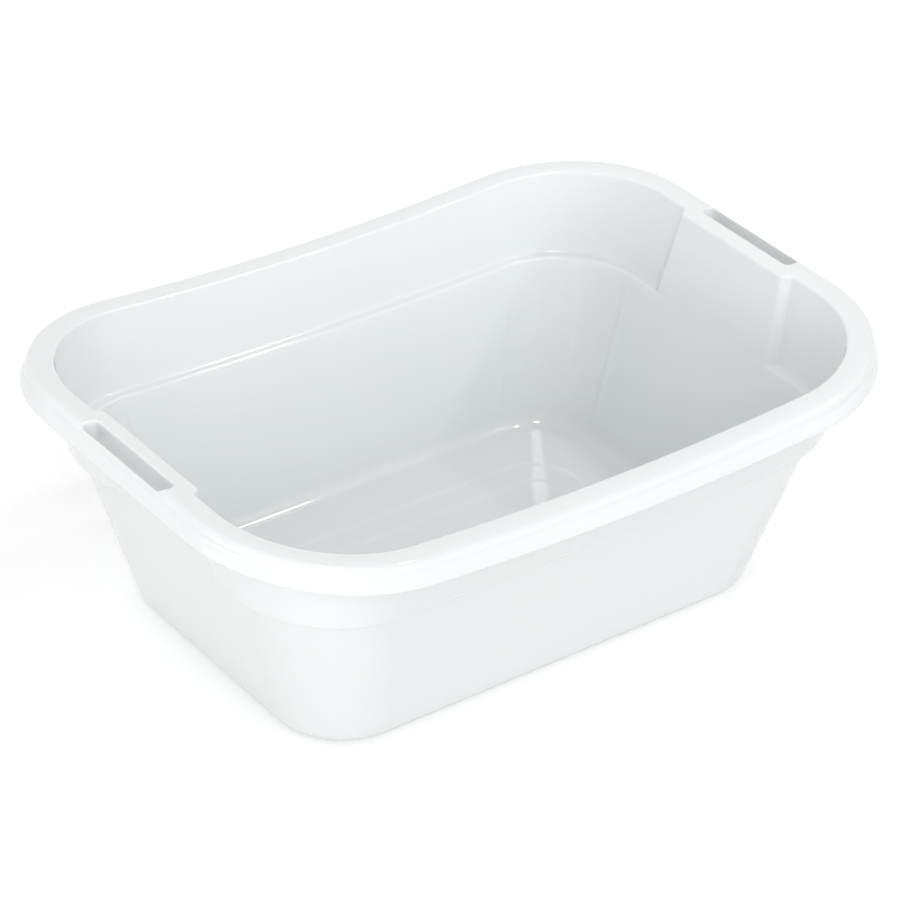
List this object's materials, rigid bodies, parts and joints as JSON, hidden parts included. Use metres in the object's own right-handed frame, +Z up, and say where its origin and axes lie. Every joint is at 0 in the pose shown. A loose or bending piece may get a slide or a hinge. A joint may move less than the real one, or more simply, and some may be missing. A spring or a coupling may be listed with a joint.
{
  "type": "washing up bowl",
  "caption": "Rectangular white plastic washing up bowl with a saddle shaped rim and a grip slot at each end.",
  "frame": {"origin": "on the surface that the bowl stands on, under the middle of its floor", "axes": "+X along the bowl towards the right handle, +Y across it, +Z up"},
  "size_m": [0.385, 0.2734, 0.1378],
  "materials": {
    "bowl_plastic": "gloss"
  },
  "bodies": {
    "root": {"tub": "bowl_plastic", "rim_front": "bowl_plastic", "rim_back": "bowl_plastic", "handle_left": "bowl_plastic", "handle_right": "bowl_plastic"}
  },
  "joints": []
}
